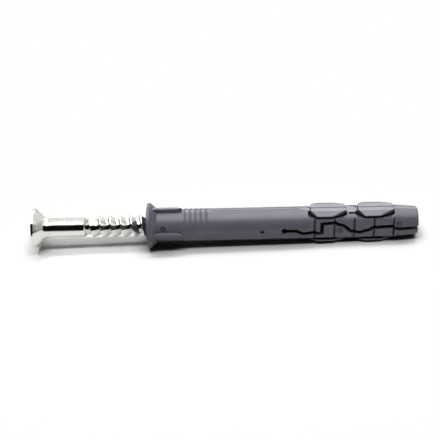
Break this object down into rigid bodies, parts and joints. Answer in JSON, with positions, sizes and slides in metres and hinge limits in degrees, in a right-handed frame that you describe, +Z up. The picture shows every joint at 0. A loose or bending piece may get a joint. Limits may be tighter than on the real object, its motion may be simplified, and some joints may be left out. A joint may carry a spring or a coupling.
{
  "type": "hammer fixing plug",
  "caption": "Hammer-in wall plug: a collared nylon sleeve with ribs, split barbed jaws and wing pads, with a countersunk screw-nail partly driven into its bore.",
  "frame": {"origin": "centre of the collar's face, on the axis of the sleeve and the screw-nail", "axes": "+X along the axis towards the sleeve's tip, +Z up and square to the wing pads"},
  "size_m": [0.0951, 0.0114, 0.0114],
  "materials": {
    "sleeve_nylon": "satin moulded nylon, neutral to bluish grey",
    "nail_zinc": "bright zinc plating with a faint yellow-green tint"
  },
  "bodies": {
    "root": {"sleeve": "sleeve_nylon", "screw_nail": "nail_zinc"}
  },
  "joints": []
}
